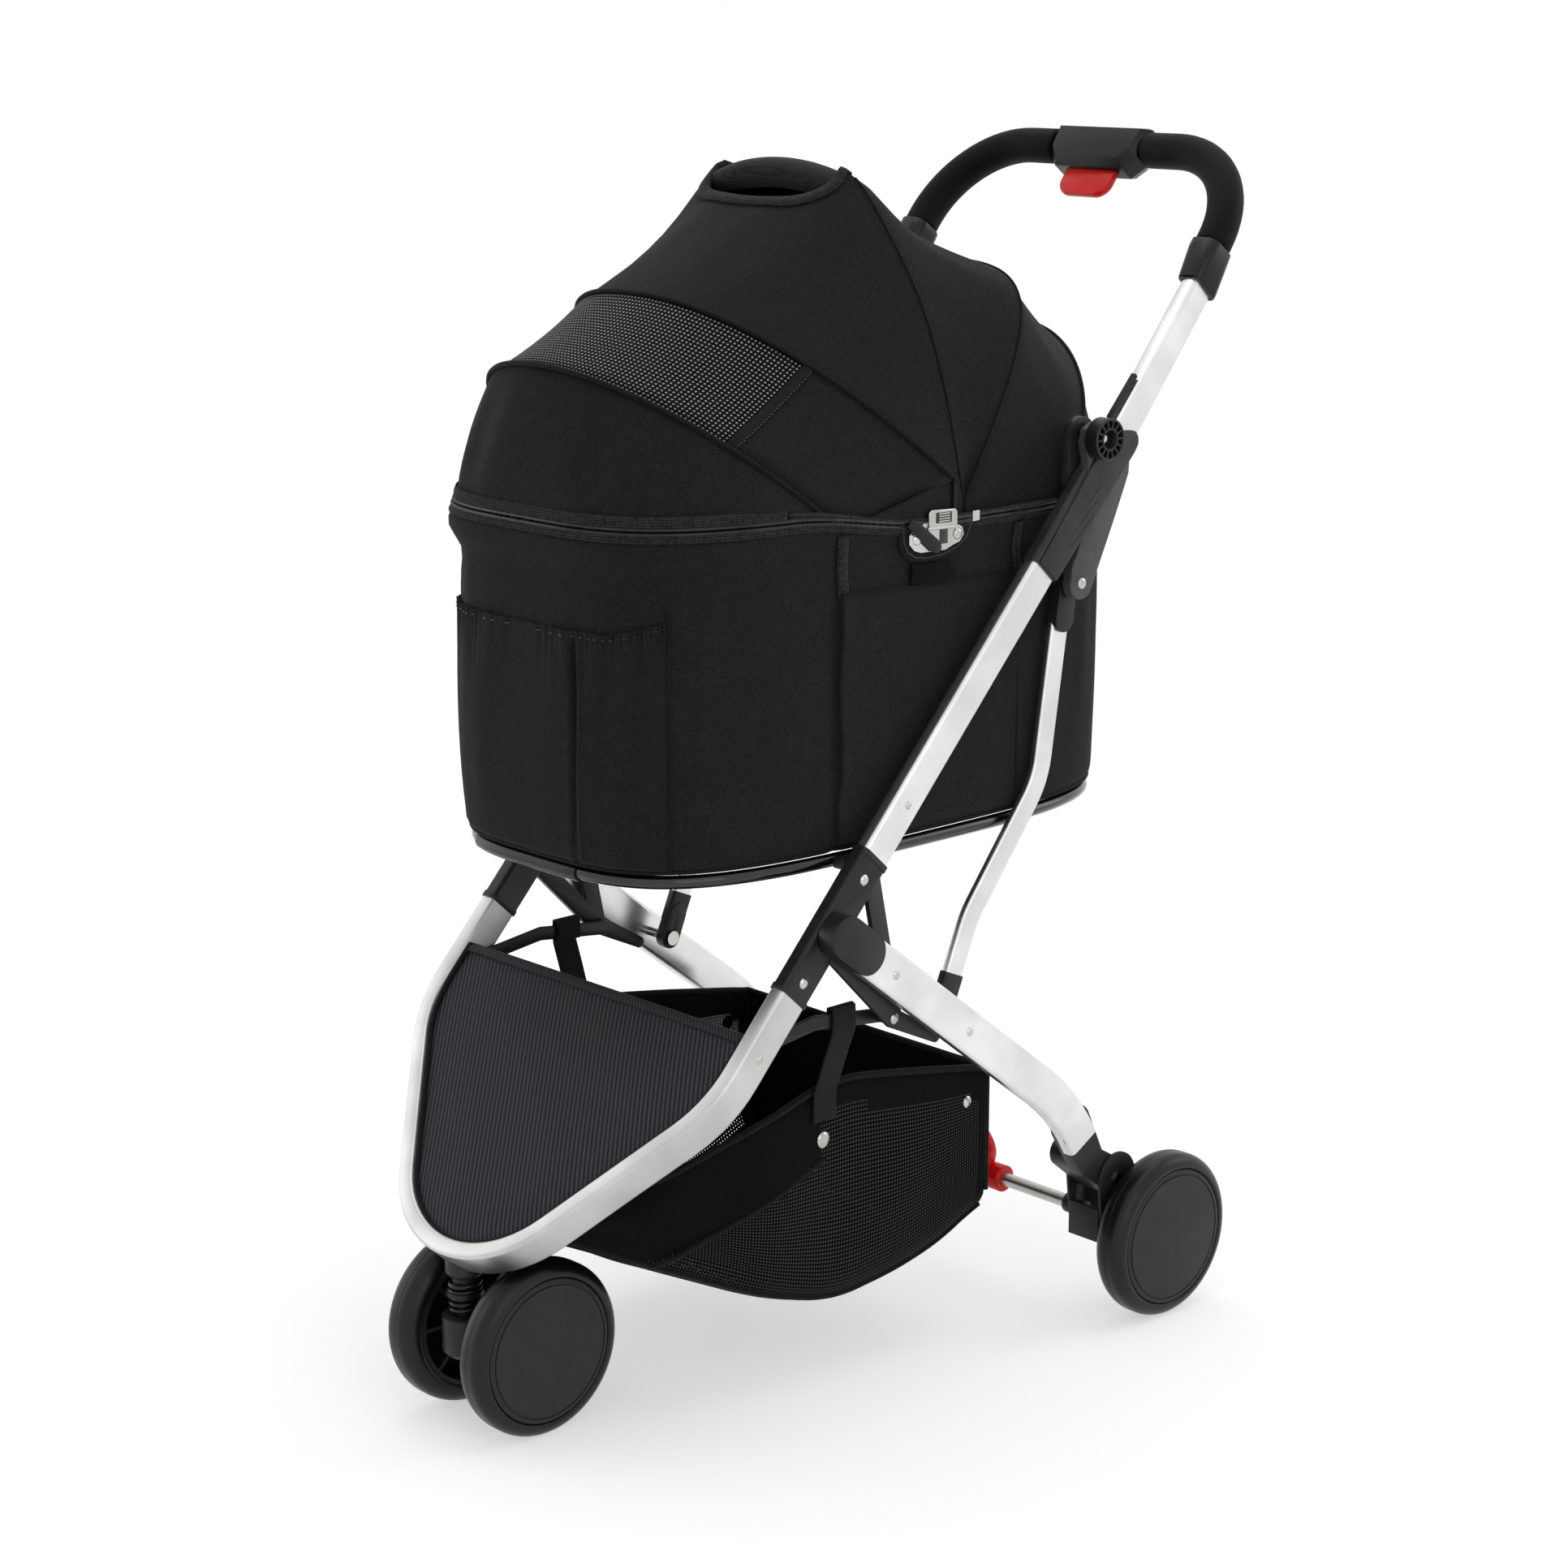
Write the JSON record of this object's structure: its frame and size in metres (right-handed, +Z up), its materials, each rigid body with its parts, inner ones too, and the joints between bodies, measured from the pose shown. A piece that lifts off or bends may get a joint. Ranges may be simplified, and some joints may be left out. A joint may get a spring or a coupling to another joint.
{
  "type": "pet stroller",
  "caption": "Folding three-wheel pet stroller with a lift-off black fabric carrier, silver frame, basket and red brake pedal",
  "frame": {"origin": "on the floor under the middle of the stroller's length and width", "axes": "+X to the stroller's left side, +Y to the rear where the handle is, +Z up"},
  "size_m": [0.476, 0.784, 1.0004],
  "materials": {
    "anodised_frame": "satin",
    "black_plastic": "matt",
    "grey_plastic": "satin",
    "bright_metal": "satin",
    "painted_steel": "gloss",
    "zinc_plate": "satin",
    "red_plastic": "gloss",
    "foam": "matt",
    "hub_plastic": "satin",
    "tyre": "satin",
    "panel_twill": "matt",
    "basket_mesh": "matt",
    "webbing": "matt",
    "canvas": "matt",
    "window_mesh": "matt",
    "mat_fleece": "matt",
    "handle_pad": "matt"
  },
  "bodies": {
    "front_frame": {"front_loop": "anodised_frame", "front_panel": "panel_twill", "bracket_left": "black_plastic", "bracket_right": "black_plastic", "main_tube_left": "anodised_frame", "main_tube_right": "anodised_frame", "joint_housing_left": "grey_plastic", "joint_housing_right": "grey_plastic", "joint_knobs": "black_plastic", "basket_rails": "painted_steel", "basket": "basket_mesh", "basket_straps": "webbing", "basket_snaps": "bright_metal", "frame_rivets": "bright_metal", "stem_socket": "black_plastic", "base_ring": "painted_steel"},
    "handle": {"upper_tube_left": "anodised_frame", "upper_tube_right": "anodised_frame", "lever_left": "grey_plastic", "lever_right": "grey_plastic", "collars": "black_plastic", "grip_core": "bright_metal", "foam_grip": "foam", "release_housing": "black_plastic", "release_cable": "painted_steel"},
    "trigger": {"fold_trigger": "red_plastic"},
    "rear_legs": {"rear_leg_left": "anodised_frame", "rear_leg_right": "anodised_frame", "leg_caps": "black_plastic", "leg_ends": "black_plastic", "axle_brackets": "zinc_plate", "leg_rivets": "bright_metal", "rear_axles": "bright_metal"},
    "brake": {"brake_bar": "bright_metal", "brake_pedal": "red_plastic", "brake_collars": "black_plastic"},
    "rear_braces": {"rear_brace_left": "anodised_frame", "rear_brace_right": "anodised_frame", "brace_ends": "black_plastic"},
    "rear_wheel_left": {"rear_tyre_left": "tyre", "rear_hub_left": "hub_plastic"},
    "rear_wheel_right": {"rear_tyre_right": "tyre", "rear_hub_right": "hub_plastic"},
    "caster": {"caster_stem": "bright_metal", "caster_spring": "painted_steel"},
    "fork": {"caster_fork": "black_plastic", "front_axle": "bright_metal"},
    "front_wheel_left": {"front_tyre_left": "tyre", "front_hub_left": "hub_plastic"},
    "front_wheel_right": {"front_tyre_right": "tyre", "front_hub_right": "hub_plastic"},
    "carrier": {"carrier_tub": "canvas", "carrier_mat": "mat_fleece", "clasps": "bright_metal", "canopy_back": "canvas", "canopy_bows": "painted_steel", "carry_handle": "handle_pad"},
    "canopy": {"canopy_flap": "canvas", "canopy_mesh": "window_mesh", "front_bow": "painted_steel"}
  },
  "joints": [
    {"name": "main_fold", "type": "hinge", "parent": "front_frame", "child": "handle", "pos_m": [0, 0.16284, 0.76711], "axis": [1, 0, 0], "range_deg": [0, 95]},
    {"name": "leg_fold", "type": "hinge", "parent": "front_frame", "child": "rear_legs", "pos_m": [0, -0.13214, 0.40671], "axis": [1, 0, 0], "range_deg": [0, 66.48]},
    {"name": "brace_swing", "type": "hinge", "parent": "rear_legs", "child": "rear_braces", "pos_m": [0, 0.00571, 0.30055], "axis": [1, 0, 0], "range_deg": [-88.31, 0]},
    {"name": "carrier_lift", "type": "slide", "parent": "front_frame", "child": "carrier", "axis": [0, -0.7071, 0.7071], "range_m": [0, 0.6001]},
    {"name": "canopy_open", "type": "hinge", "parent": "carrier", "child": "canopy", "pos_m": [0, 0.03597, 0.722], "axis": [1, 0, 0], "range_deg": [-36, 0], "deforming": ["canopy_mesh"]},
    {"name": "trigger_pull", "type": "slide", "parent": "handle", "child": "trigger", "axis": [0, 0.6046, 0.7965], "range_m": [0, 0.008], "stiffness_N_per_m": 300, "springref_m": -0.006},
    {"name": "brake_press", "type": "hinge", "parent": "rear_legs", "child": "brake", "pos_m": [0, 0.1892, 0.09142], "axis": [1, 0, 0], "range_deg": [0, 22]},
    {"name": "rear_spin_left", "type": "hinge", "parent": "rear_legs", "child": "rear_wheel_left", "pos_m": [0.222, 0.2302, 0.0725], "axis": [1, 0, 0], "continuous": true},
    {"name": "rear_spin_right", "type": "hinge", "parent": "rear_legs", "child": "rear_wheel_right", "pos_m": [-0.222, 0.2302, 0.0725], "axis": [1, 0, 0], "continuous": true},
    {"name": "caster_swivel", "type": "hinge", "parent": "front_frame", "child": "caster", "pos_m": [0, -0.35554, 0.118], "axis": [0, 0, 1], "continuous": true},
    {"name": "fork_travel", "type": "slide", "parent": "caster", "child": "fork", "axis": [0, 0, 1], "range_m": [0, 0.0015], "stiffness_N_per_m": 2500, "springref_m": -0.02, "deforming": ["caster_spring"]},
    {"name": "front_spin_left", "type": "hinge", "parent": "fork", "child": "front_wheel_left", "pos_m": [0.044, -0.31954, 0.0725], "axis": [1, 0, 0], "continuous": true},
    {"name": "front_spin_right", "type": "hinge", "parent": "fork", "child": "front_wheel_right", "pos_m": [-0.044, -0.31954, 0.0725], "axis": [1, 0, 0], "continuous": true}
  ],
  "couplings": [
    {"joint": "leg_fold", "follows": "main_fold", "ratio": 0.69969},
    {"joint": "brace_swing", "follows": "main_fold", "ratio": -0.92946},
    {"joint": "carrier_lift", "follows": "main_fold", "m_per_rad": 0.36187}
  ]
}
